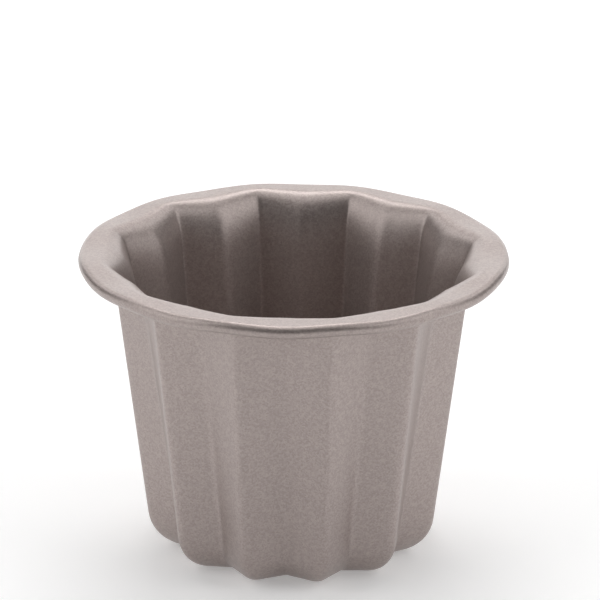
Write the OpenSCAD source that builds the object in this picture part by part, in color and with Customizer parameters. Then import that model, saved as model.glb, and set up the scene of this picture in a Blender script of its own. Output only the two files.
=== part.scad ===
// Fluted canele mould, drawn from one round blank of coated steel sheet.
// Flat-sided flutes run from the floor up to a flared rim, and the edge of the
// sheet is rolled under into a bead. Everything is one thickness of sheet.
// Millimetres, +Z up. The origin is the middle of the floor's underside, and
// the first crest lies over +X.

/* [Rim] */
// Diameter of the mould over its rolled edge
rim_d = 70; // [60:0.5:90]
// Distance from the line of the crests, where it meets the top, out to the rolled edge
flange_w = 4.95; // [4.5:0.05:8]
// Bend from wall to rim at a crest, radius on the outside of the sheet
flare_crest_r = 2.9; // [2:0.1:3]
// Bend from wall to rim at a valley, radius on the outside of the sheet
flare_valley_r = 3.8; // [2:0.1:5]
// Rounding of the flutes where the bend runs out into the flat rim, radius in plan
brow_round = 6; // [2:0.1:7]
// Diameter of the rolled edge
bead_d = 2.1; // [2.1:0.1:2.6]
// Angle that the sheet turns through as it rolls under
curl_turn = 250; // [180:5:270]
// Drop of the rim over a valley, below its height over a crest
rim_wave = 0.24; // [0:0.02:0.6]

/* [Wall] */
// Height of the mould at its crests
height = 50.6; // [40:0.2:60]
// Thickness of the coated sheet
sheet = 0.8; // [0.5:0.1:1]
// Lean of the crests out of upright
draft = 6.5; // [4:0.1:8]
// Number of flutes
flutes = 12; // [10:1:14]
// Depth of a flute at the rim, between the lines of its crest and its valley
flute_depth_top = 2.6; // [2:0.05:3.5]
// Depth of a flute at the floor, between the same lines
flute_depth_foot = 4.35; // [3:0.05:5]
// Rounding of a crest at the rim, radius on the outside of the sheet
crest_round_top = 1.3; // [1:0.1:2.4]
// Rounding of a crest at the floor, radius on the outside of the sheet
crest_round_foot = 1.7; // [1:0.1:3]
// Rounding of a valley at the rim, radius on the outside of the sheet
valley_round_top = 4.5; // [1:0.1:6]
// Rounding of a valley at the floor, radius on the outside of the sheet
valley_round_foot = 1; // [0.4:0.1:1.5]

/* [Floor] */
// Corner from wall to floor at a crest, radius on the outside of the sheet
foot_crest_r = 7.1; // [3:0.1:8]
// Corner from wall to floor at a valley, radius on the outside of the sheet
foot_valley_r = 6.2; // [4:0.1:10]

/* [Hidden] */

coat = [0.62, 0.57, 0.55];

// Steps along the profile's bends
foot_steps = 6;
flare_steps = 5;
brow_steps = 4;
tuck_steps = 6;

// Turns of the curl: over the brow to the widest point, then tucked under
curl_turns = concat(
    [for (k = [0:brow_steps]) 90 * k / brow_steps],
    [for (k = [1:tuck_steps]) 90 + (curl_turn - 90) * k / tuck_steps]
);

half = 180 / flutes;
rim_r = rim_d / 2;
bead_r = bead_d / 2;
wall_run = height * tan(draft);
crest_top = rim_r - flange_w;
crest_foot = crest_top - wall_run;
valley_top = crest_top - flute_depth_top;
valley_foot = crest_foot - flute_depth_foot;

// Direction that a flat flank faces, as an angle from its crest
function flank_face(crest, valley) =
    atan2(crest - valley * cos(half), valley * sin(half));

// Angle from the crest out to where its rounding ends
function crest_end(crest, valley, radius) =
    let (face = flank_face(crest, valley))
    atan2(radius * sin(face), crest - radius / cos(face) + radius * cos(face));

// Angle from the valley back to where its rounding ends
function valley_end(crest, valley, radius) =
    let (face = flank_face(crest, valley) - half)
    atan2(radius * sin(face), valley + radius / cos(face) - radius * cos(face));

// Distance from the axis to the fluted outline, at an angle from the crest
function outline(angle, crest, valley, crest_r, valley_r) =
    let (
        face = flank_face(crest, valley),
        crest_mid = crest - crest_r / cos(face),
        valley_mid = valley + valley_r / cos(face - half),
        back = half - angle
    )
    angle < crest_end(crest, valley, crest_r)
        ? crest_mid * cos(angle) + sqrt(crest_r ^ 2 - (crest_mid * sin(angle)) ^ 2)
        : back < valley_end(crest, valley, valley_r)
            ? valley_mid * cos(back) - sqrt(valley_r ^ 2 - (valley_mid * sin(back)) ^ 2)
            : crest * cos(face) / cos(angle - face);

function mix(a, b, share) = a + (b - a) * share;

// Columns of one half flute: the crest's rounding, the flank and the valley's rounding
crest_edge = crest_end(crest_foot, valley_foot, crest_round_foot);
valley_edge = half - valley_end(crest_top, valley_top, valley_round_top);
half_columns = [
    0, crest_edge / 2, crest_edge, (crest_edge + valley_edge) / 2, valley_edge, half
];
last = len(half_columns) - 1;
flute_columns = concat(half_columns, [for (k = [last - 1:-1:1]) 2 * half - half_columns[k]]);
columns = [for (f = [0:flutes - 1]) for (a = flute_columns) 2 * half * f + a];

// Profile of the sheet's outer side in the upright plane at one column.
// Each point is [distance from the axis, height, direction of travel].
function profile(column) =
    let (
        turn = column % (2 * half),
        angle = min(turn, 2 * half - turn),
        share = (1 - cos(180 * angle / half)) / 2,
        foot_line = outline(angle, crest_foot, valley_foot, crest_round_foot, valley_round_foot),
        top_line = outline(angle, crest_top, valley_top, crest_round_top, valley_round_top),
        brow_line = outline(angle, crest_top, valley_top, brow_round, brow_round),
        lean = atan2(top_line - foot_line, height),
        top = height - rim_wave * share,
        foot_r = mix(foot_crest_r, foot_valley_r, share),
        flare_r = mix(flare_crest_r, flare_valley_r, share)
            + (brow_line - top_line) / tan(45 - lean / 2),
        curl_r = bead_r - sheet,
        foot_mid = foot_line + foot_r * (tan(lean) - 1 / cos(lean)),
        flare_z = top - sheet - flare_r * (1 - sin(lean)),
        flare_mid = foot_line + flare_z * tan(lean) + flare_r * cos(lean)
    )
    concat(
        [for (k = [0:foot_steps])
            let (a = (90 - lean) * k / foot_steps)
            [foot_mid + foot_r * sin(a), foot_r * (1 - cos(a)), a]],
        [for (k = [0:flare_steps])
            let (a = mix(90 - lean, 0, k / flare_steps))
            [flare_mid - flare_r * sin(a), top - sheet - flare_r * (1 - cos(a)), a]],
        [for (a = curl_turns)
            [rim_r - bead_r + curl_r * sin(a), top - bead_r + curl_r * cos(a), -a]]
    );

profiles = [for (c = columns) profile(c)];
column_count = len(columns);
row_count = len(profiles[0]);

function place(row, j) =
    let (c = (j + column_count) % column_count, p = profiles[c][row])
    [p[0] * cos(columns[c]), p[0] * sin(columns[c]), p[1]];

// Direction through the sheet, square to its outer side
function through(row, j) =
    let (
        travel = profiles[j][row][2],
        up = [cos(travel) * cos(columns[j]), cos(travel) * sin(columns[j]), sin(travel)],
        square_to = cross(up, place(row, j + 1) - place(row, j - 1))
    )
    square_to / norm(square_to);

// Rings of points: up the outer side, over the sheet's cut edge and back down the inner side
rings = concat(
    [for (row = [0:row_count - 1]) [for (j = [0:column_count - 1]) place(row, j)]],
    [for (row = [row_count - 1:-1:0])
        [for (j = [0:column_count - 1]) place(row, j) + sheet * through(row, j)]]
);
ring_count = len(rings);
floor_under = ring_count * column_count;
floor_over = floor_under + 1;

function at(ring, j) = ring * column_count + j % column_count;

module mould() {
    band_faces = [
        for (ring = [0:ring_count - 2])
            for (j = [0:column_count - 1])
                for (side = [0, 1])
                    side == 0
                        ? [at(ring, j), at(ring + 1, j), at(ring, j + 1)]
                        : [at(ring, j + 1), at(ring + 1, j), at(ring + 1, j + 1)]
    ];
    floor_faces = [
        for (j = [0:column_count - 1])
            for (side = [0, 1])
                side == 0
                    ? [floor_under, at(0, j), at(0, j + 1)]
                    : [floor_over, at(ring_count - 1, j + 1), at(ring_count - 1, j)]
    ];
    color(coat)
        polyhedron(
            points = concat([for (ring = rings) each ring], [[0, 0, 0], [0, 0, sheet]]),
            faces = concat(band_faces, floor_faces)
        );
}

mould();
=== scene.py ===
import math

import bpy
from mathutils import Matrix, Vector


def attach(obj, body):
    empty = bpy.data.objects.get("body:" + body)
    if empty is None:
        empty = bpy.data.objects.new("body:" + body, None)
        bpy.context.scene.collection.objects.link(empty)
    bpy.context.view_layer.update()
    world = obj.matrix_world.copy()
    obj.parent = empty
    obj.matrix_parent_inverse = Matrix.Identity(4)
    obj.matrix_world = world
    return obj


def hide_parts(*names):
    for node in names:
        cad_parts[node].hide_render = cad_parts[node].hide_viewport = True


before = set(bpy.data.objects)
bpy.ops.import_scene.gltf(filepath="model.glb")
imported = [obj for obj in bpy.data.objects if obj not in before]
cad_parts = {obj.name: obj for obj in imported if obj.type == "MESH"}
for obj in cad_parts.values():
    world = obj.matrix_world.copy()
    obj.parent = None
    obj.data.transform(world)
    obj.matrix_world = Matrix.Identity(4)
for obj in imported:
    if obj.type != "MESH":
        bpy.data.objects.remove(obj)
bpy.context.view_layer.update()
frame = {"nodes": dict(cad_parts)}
print("frame loaded:", ", ".join(frame["nodes"]))


class Wire:  # the end of a socket, so that node maths reads as plain sums
    def __init__(self, bench, socket):
        self.bench = bench
        self.socket = socket

    def out(self, name):  # another output of the same node
        return Wire(self.bench, self.socket.node.outputs[name])

    def maths(self, operation, *values):
        return self.bench.add("ShaderNodeMath", {"operation": operation}, dict(enumerate(values)))

    def __add__(self, other): return self.maths("ADD", self, other)
    def __radd__(self, other): return self.maths("ADD", other, self)
    def __sub__(self, other): return self.maths("SUBTRACT", self, other)
    def __rsub__(self, other): return self.maths("SUBTRACT", other, self)
    def __mul__(self, other): return self.maths("MULTIPLY", self, other)
    def __rmul__(self, other): return self.maths("MULTIPLY", other, self)
    def __truediv__(self, other): return self.maths("DIVIDE", self, other)
    def __rtruediv__(self, other): return self.maths("DIVIDE", other, self)
    def __abs__(self): return self.maths("ABSOLUTE", self)
    def __lt__(self, other): return self.maths("LESS_THAN", self, other)

    def sin(self): return self.maths("SINE", self)
    def cos(self): return self.maths("COSINE", self)
    def tan(self): return self.maths("TANGENT", self)
    def root(self): return self.maths("SQRT", self)
    def floor(self): return self.maths("FLOOR", self)
    def sign(self): return self.maths("SIGN", self)
    def over(self, other): return self.maths("ARCTAN2", self, other)  # angle whose tangent is self / other
    def held(self): return self.maths("MINIMUM", self.maths("MAXIMUM", self, 0.0), 1.0)


class Bench:  # one node tree, and the one way nodes are put on it
    def __init__(self, tree):
        self.tree = tree

    def add(self, kind, settings=None, sockets=None, output=0):
        node = self.tree.nodes.new(kind)
        for name, value in (settings or {}).items():
            setattr(node, name, value)
        for name, value in (sockets or {}).items():
            if isinstance(value, Wire):
                self.tree.links.new(value.socket, node.inputs[name])
            else:
                node.inputs[name].default_value = value
        return Wire(self, node.outputs[output] if node.outputs else None)

    def blend(self, share, first, second):  # two colours mixed
        return self.add("ShaderNodeMix", {"data_type": "RGBA"}, {0: share, 6: first, 7: second}, 2)


coating = {
    "colour": (0.368, 0.308, 0.29),
    "flakeColour": (0.585, 0.505, 0.478),
    "metallic": 0.7,
    "roughness": 0.44,
    "mottleRoughness": 0.08,  # how far it wanders from patch to patch
    "flakeRoughness": 0.06,  # and from flake to flake
    "flakeSize": 0.00024,  # metres across one flake
    "flakeShare": 0.5,
    "mottleSize": 0.0013,
    "mottleShare": 0.4,  # how much the flakes thin out and crowd between patches
    "grainsPerFlake": 0.7,
    "grainHeight": 0.000018,
    "clearCoat": 0.25,
    "clearRoughness": 0.22,
}


def makeCoatedSteel(look):
    material = bpy.data.materials.new("coatedSteel")
    material.use_nodes = True
    material.node_tree.nodes.clear()
    bench = Bench(material.node_tree)
    place = bench.add("ShaderNodeTexCoord").out("Object")

    flakes = bench.add("ShaderNodeTexVoronoi", {}, {"Vector": place, "Scale": 1 / look["flakeSize"]})
    flake = bench.add("ShaderNodeSeparateColor", {}, {"Color": flakes.out("Color")})
    mottle = bench.add("ShaderNodeTexNoise", {}, {
        "Vector": place, "Scale": 1 / look["mottleSize"], "Detail": 3.0, "Roughness": 0.6,
    })
    crowd = 1.0 + 2 * look["mottleShare"] * (mottle - 0.5)
    colour = bench.blend(
        flake * look["flakeShare"] * crowd, (*look["colour"], 1.0), (*look["flakeColour"], 1.0)
    )
    wander = look["mottleRoughness"] * (mottle - 0.5) + look["flakeRoughness"] * (flake - 0.5)

    grain = bench.add("ShaderNodeTexNoise", {}, {
        "Vector": place, "Scale": look["grainsPerFlake"] / look["flakeSize"], "Detail": 2.0, "Roughness": 0.5,
    })
    bump = bench.add("ShaderNodeBump", {}, {
        "Strength": 1.0, "Distance": look["grainHeight"], "Height": grain,
    })
    surface = bench.add("ShaderNodeBsdfPrincipled", {}, {
        "Base Color": colour,
        "Metallic": look["metallic"],
        "Roughness": look["roughness"] + wander,
        "Normal": bump,
        "Coat Weight": look["clearCoat"],
        "Coat Roughness": look["clearRoughness"],
    })
    bench.add("ShaderNodeOutputMaterial", {}, {"Surface": surface})
    return material


coatedSteel = makeCoatedSteel(coating)
print("material made: coated steel")


mouldSizes = {  # lengths in metres, angles in degrees
    "Rim Diameter": 0.070,
    "Flange Width": 0.00495,
    "Flare at Crest": 0.0030,
    "Flare at Valley": 0.0041,
    "Flare Run-out": 2.4,  # reach of the bend down the wall, as a share of a plain arc's
    "Brow Rounding": 0.006,
    "Bead Diameter": 0.0021,
    "Curl Turn": 250.0,
    "Rim Wave": 0.00024,
    "Height": 0.0506,
    "Sheet": 0.0008,
    "Draft": 6.5,
    "Flutes": 12,
    "Flute Depth Top": 0.0026,
    "Flute Depth Foot": 0.00435,
    "Crest Rounding Top": 0.0013,
    "Crest Rounding Foot": 0.0017,
    "Valley Rounding Top": 0.0045,
    "Valley Rounding Foot": 0.001,
    "Foot at Crest": 0.0071,
    "Foot at Valley": 0.0062,
    "Columns per Flute": 32,
    "Rows per Part": 12,
    "Weld": 0.000002,  # points closer than this become one
}


def makeMouldTree(sizes, material):
    tree = bpy.data.node_groups.new("flutedSheet", "GeometryNodeTree")
    for name, value in sizes.items():
        kind = "NodeSocketInt" if isinstance(value, int) else "NodeSocketFloat"
        tree.interface.new_socket(name, in_out="INPUT", socket_type=kind)
    tree.interface.new_socket("Geometry", in_out="OUTPUT", socket_type="NodeSocketGeometry")
    bench = Bench(tree)
    given = bench.add("NodeGroupInput")
    size = {name: given.out(name) for name in sizes}
    degrees = math.pi / 180
    sheet = size["Sheet"]

    # one flat grid: its long side goes round the mould, its short side along the sheet's path
    parts = 6  # floor, foot, wall, flare, brow and curl
    grid = bench.add("GeometryNodeMeshGrid", {}, {
        "Size X": 1.0,
        "Size Y": 1.0,
        "Vertices X": size["Flutes"] * size["Columns per Flute"] + 1.0,
        "Vertices Y": size["Rows per Part"] * parts + 1.0,
    })
    corner = bench.add("ShaderNodeSeparateXYZ", {}, {"Vector": bench.add("GeometryNodeInputPosition")})
    turn = (corner.out("X") + 0.5) * size["Flutes"]
    crest = (turn + 0.5).floor()
    share = abs(turn - crest) * 2.0  # 0 on a crest, 1 in a valley
    share = 0.2 * share + 0.4 * (1.0 - (share * math.pi).cos())  # columns crowd where the sheet bends
    half = math.pi / size["Flutes"]
    azimuth = (2.0 * crest + (turn - crest).sign() * share) * half
    angle = share * half

    # the fluted outline at the floor and at the top
    rim = size["Rim Diameter"] / 2.0
    beadR = size["Bead Diameter"] / 2.0
    crestTop = rim - size["Flange Width"]
    crestFoot = crestTop - size["Height"] * (size["Draft"] * degrees).tan()
    valleyTop = crestTop - size["Flute Depth Top"]
    valleyFoot = crestFoot - size["Flute Depth Foot"]

    def outline(crestR, valleyR, crestRound, valleyRound):
        face = (crestR - valleyR * half.cos()).over(valleyR * half.sin())  # way a flank faces
        crestMid = crestR - crestRound / face.cos()
        crestEnd = (crestRound * face.sin()).over(crestMid + crestRound * face.cos())
        valleyFace = face - half
        valleyMid = valleyR + valleyRound / valleyFace.cos()
        valleyEnd = (valleyRound * valleyFace.sin()).over(valleyMid - valleyRound * valleyFace.cos())
        back = half - angle
        onCrest = angle < crestEnd
        onValley = back < valleyEnd
        crestSide = crestMid * angle.sin()
        valleySide = valleyMid * back.sin()
        crestArc = crestMid * angle.cos() + (crestRound * crestRound - crestSide * crestSide).root()
        valleyArc = valleyMid * back.cos() - (valleyRound * valleyRound - valleySide * valleySide).root()
        flank = crestR * face.cos() / (angle - face).cos()
        return flank + onCrest * (crestArc - flank) + onValley * (valleyArc - flank)

    footLine = outline(crestFoot, valleyFoot, size["Crest Rounding Foot"], size["Valley Rounding Foot"])
    topLine = outline(crestTop, valleyTop, size["Crest Rounding Top"], size["Valley Rounding Top"])
    browLine = outline(crestTop, valleyTop, size["Brow Rounding"], size["Brow Rounding"])
    lean = (topLine - footLine).over(size["Height"])

    # the sheet's path in one upright plane, from the middle of the floor to the cut edge
    inValley = (1.0 - (share * math.pi).cos()) / 2.0  # 0 on a crest, 1 in a valley, easing at both
    top = size["Height"] - size["Rim Wave"] * inValley
    footR = size["Foot at Crest"] + (size["Foot at Valley"] - size["Foot at Crest"]) * inValley
    flareR = size["Flare at Crest"] + (size["Flare at Valley"] - size["Flare at Crest"]) * inValley
    arcReach = flareR * (math.pi / 4 - lean / 2.0).tan()  # from the corner to either end of a plain arc
    brimReach = arcReach + browLine - topLine  # the flutes fade in the bend
    wallReach = arcReach * size["Flare Run-out"]
    curlR = beadR - sheet
    footMid = footLine + footR * (lean.tan() - 1.0 / lean.cos())
    cornerUp = top - sheet
    cornerOut = footLine + cornerUp * lean.tan()
    wallOut = cornerOut - wallReach * lean.sin() - footMid - footR * lean.cos()
    wallUp = cornerUp - wallReach * lean.cos() - footR * (1.0 - lean.sin())
    browOut = rim - beadR - cornerOut - brimReach

    along = (corner.out("Y") + 0.5) * parts
    onFloor, onFoot, onWall, onFlare, onBrow, onCurl = [(along - part).held() for part in range(parts)]
    footTurn = (math.pi / 2 - lean) * onFoot
    climb = wallReach * onFlare * (2.0 - onFlare)  # along the wall's line, slowing to a stop at the brim
    curlTurn = size["Curl Turn"] * degrees * onCurl
    outward = (
        footMid * onFloor
        + footR * footTurn.sin()
        + wallOut * onWall
        + climb * lean.sin()
        + brimReach * onFlare * onFlare
        + browOut * onBrow
        + curlR * curlTurn.sin()
    )
    upward = (
        footR * (1.0 - footTurn.cos())
        + wallUp * onWall
        + climb * lean.cos()
        - curlR * (1.0 - curlTurn.cos())
    )
    place = bench.add("ShaderNodeCombineXYZ", {}, {
        "X": outward * azimuth.cos(), "Y": outward * azimuth.sin(), "Z": upward,
    })

    bent = bench.add("GeometryNodeSetPosition", {}, {"Geometry": grid, "Position": place})
    closed = bench.add("GeometryNodeMergeByDistance", {}, {"Geometry": bent, "Distance": size["Weld"]})
    smooth = bench.add("GeometryNodeSetShadeSmooth", {}, {"Geometry": closed, "Shade Smooth": True})
    real = bench.add("GeometryNodeRealizeInstances", {}, {"Geometry": smooth})
    coated = bench.add("GeometryNodeSetMaterial", {}, {"Geometry": real, "Material": material})
    bench.add("NodeGroupOutput", {}, {"Geometry": coated})
    return tree


def makeMould(sizes, material):
    holder = bpy.data.objects.new("mouldSheet", bpy.data.meshes.new("mouldSheet"))
    bpy.context.scene.collection.objects.link(holder)
    nodes = holder.modifiers.new("flutes", "NODES")
    nodes.node_group = makeMouldTree(sizes, material)
    for item in nodes.node_group.interface.items_tree:
        if item.in_out == "INPUT":
            nodes[item.identifier] = sizes[item.name]
    wall = holder.modifiers.new("sheet", "SOLIDIFY")
    wall.thickness = sizes["Sheet"]
    wall.offset = -1.0
    made = bpy.data.meshes.new_from_object(holder.evaluated_get(bpy.context.evaluated_depsgraph_get()))
    bpy.data.objects.remove(holder)
    made.name = "mouldShell"
    mould = bpy.data.objects.new("mouldShell", made)
    bpy.context.scene.collection.objects.link(mould)
    print("mould made:", len(made.vertices), "points,", len(made.polygons), "faces")
    return mould


mould = makeMould(mouldSizes, coatedSteel)
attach(mould, "root")
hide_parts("mould")


table = {
    "width": 30.0,
    "colour": (0.9, 0.9, 0.9),
    "nearWhite": 0.27,  # light of its own round the mould, which the view and reflections see
    "farWhite": 0.95,  # the same out where the lamps don't reach
    "fadeFrom": 0.4,  # metres from the middle to where it starts to change
    "fadeWidth": 0.45,
}


def makeTable(look):
    material = bpy.data.materials.new("whiteTable")
    material.use_nodes = True
    material.node_tree.nodes.clear()
    bench = Bench(material.node_tree)
    path = bench.add("ShaderNodeLightPath")
    seen = (path.out("Is Camera Ray") + path.out("Is Glossy Ray") + path.out("Is Transmission Ray")).held()
    place = bench.add("ShaderNodeTexCoord").out("Object")
    away = bench.add("ShaderNodeVectorMath", {"operation": "LENGTH"}, {0: place}, "Value")
    far = ((away - look["fadeFrom"]) / look["fadeWidth"]).held()
    white = look["nearWhite"] + far * (look["farWhite"] - look["nearWhite"])
    matt = bench.add("ShaderNodeBsdfDiffuse", {}, {"Color": (*look["colour"], 1.0)})
    glow = bench.add("ShaderNodeEmission", {}, {"Color": (1.0, 1.0, 1.0, 1.0), "Strength": seen * white})
    lit = bench.add("ShaderNodeAddShader", {}, {0: matt, 1: glow})
    clear = bench.add("ShaderNodeBsdfTransparent")
    under = bench.add("ShaderNodeNewGeometry").out("Backfacing")
    both = bench.add("ShaderNodeMixShader", {}, {0: under, 1: lit, 2: clear})  # open from below
    bench.add("ShaderNodeOutputMaterial", {}, {"Surface": both})

    reach = look["width"] / 2
    mesh = bpy.data.meshes.new("whiteTable")
    corners = [(-reach, -reach, 0), (reach, -reach, 0), (reach, reach, 0), (-reach, reach, 0)]
    mesh.from_pydata(corners, [], [(0, 1, 2, 3)])
    mesh.materials.append(material)
    top = bpy.data.objects.new("whiteTable", mesh)
    bpy.context.scene.collection.objects.link(top)
    return top


makeTable(table)
print("table made")


studio = {
    "softBoxes": [  # name, degrees round from the camera and up, width, height, watts
        ("leftBox", -75, 14, 0.9, 0.42, 1.2),
        ("rightBox", 75, 14, 0.9, 0.42, 1.15),
        ("upperLeftBox", -75, 42, 0.6, 0.6, 1.8),
        ("upperRightBox", 75, 42, 0.6, 0.6, 1.8),
        ("overheadBox", 0, 88, 0.5, 0.5, 1.1),
        ("backLeftBox", -135, 42, 0.42, 0.42, 0.95),
        ("backRightBox", 135, 42, 0.42, 0.42, 0.95),
        ("backBox", 180, 55, 0.42, 0.42, 2.45),
        ("lowBackBox", 180, 14, 1.2, 0.42, 2.35),
    ],
    "distance": 0.9,
    "aimHeight": 0.03,
    "roomLight": 0.03,
}


def makeLight(look, towards):
    for name, azimuth, rise, width, height, watts in look["softBoxes"]:
        lamp = bpy.data.lights.new(name, "AREA")
        lamp.shape = "RECTANGLE"
        lamp.size = width
        lamp.size_y = height
        lamp.energy = watts
        box = bpy.data.objects.new(name, lamp)
        turn, lift = math.radians(azimuth + towards), math.radians(rise)
        away = Vector((math.sin(turn) * math.cos(lift), -math.cos(turn) * math.cos(lift), math.sin(lift)))
        box.location = away * look["distance"] + Vector((0, 0, look["aimHeight"]))
        box.rotation_euler = away.to_track_quat("Z", "Y").to_euler()
        bpy.context.scene.collection.objects.link(box)

    world = bpy.data.worlds.new("studio")
    world.use_nodes = True
    world.node_tree.nodes.clear()
    bench = Bench(world.node_tree)
    white = (1.0, 1.0, 1.0, 1.0)
    room = bench.add("ShaderNodeBackground", {}, {"Color": white, "Strength": look["roomLight"]})
    bench.add("ShaderNodeOutputWorld", {}, {"Surface": room})
    bpy.context.scene.world = world


view = {
    "azimuth": -11.83,
    "elevation": 20.559,
    "distance": 0.5893,
    "lens": 216.4,
    "roll": -0.27,
    "aside": 0.001055,  # middle of the picture, right of the axis
    "aimHeight": 0.041957,
}


def makeCamera(look):
    turn, lift, roll = (math.radians(look[name]) for name in ("azimuth", "elevation", "roll"))
    back = Vector((math.sin(turn) * math.cos(lift), -math.cos(turn) * math.cos(lift), math.sin(lift)))
    right = Vector((math.cos(turn), math.sin(turn), 0))
    up = back.cross(right)
    aim = right * look["aside"] + Vector((0, 0, look["aimHeight"]))
    place = aim + back * look["distance"]
    across = right * math.cos(roll) - up * math.sin(roll)
    upward = right * math.sin(roll) + up * math.cos(roll)
    data = bpy.data.cameras.new("view")
    data.lens = look["lens"]
    data.clip_start = 0.01
    data.clip_end = 60
    camera = bpy.data.objects.new("view", data)
    camera.matrix_world = Matrix((
        (across.x, upward.x, back.x, place.x),
        (across.y, upward.y, back.y, place.y),
        (across.z, upward.z, back.z, place.z),
        (0, 0, 0, 1),
    ))
    bpy.context.scene.collection.objects.link(camera)
    bpy.context.scene.camera = camera


makeLight(studio, view["azimuth"])
makeCamera(view)
bpy.context.scene.view_settings.view_transform = "Standard"
print("light and camera set")
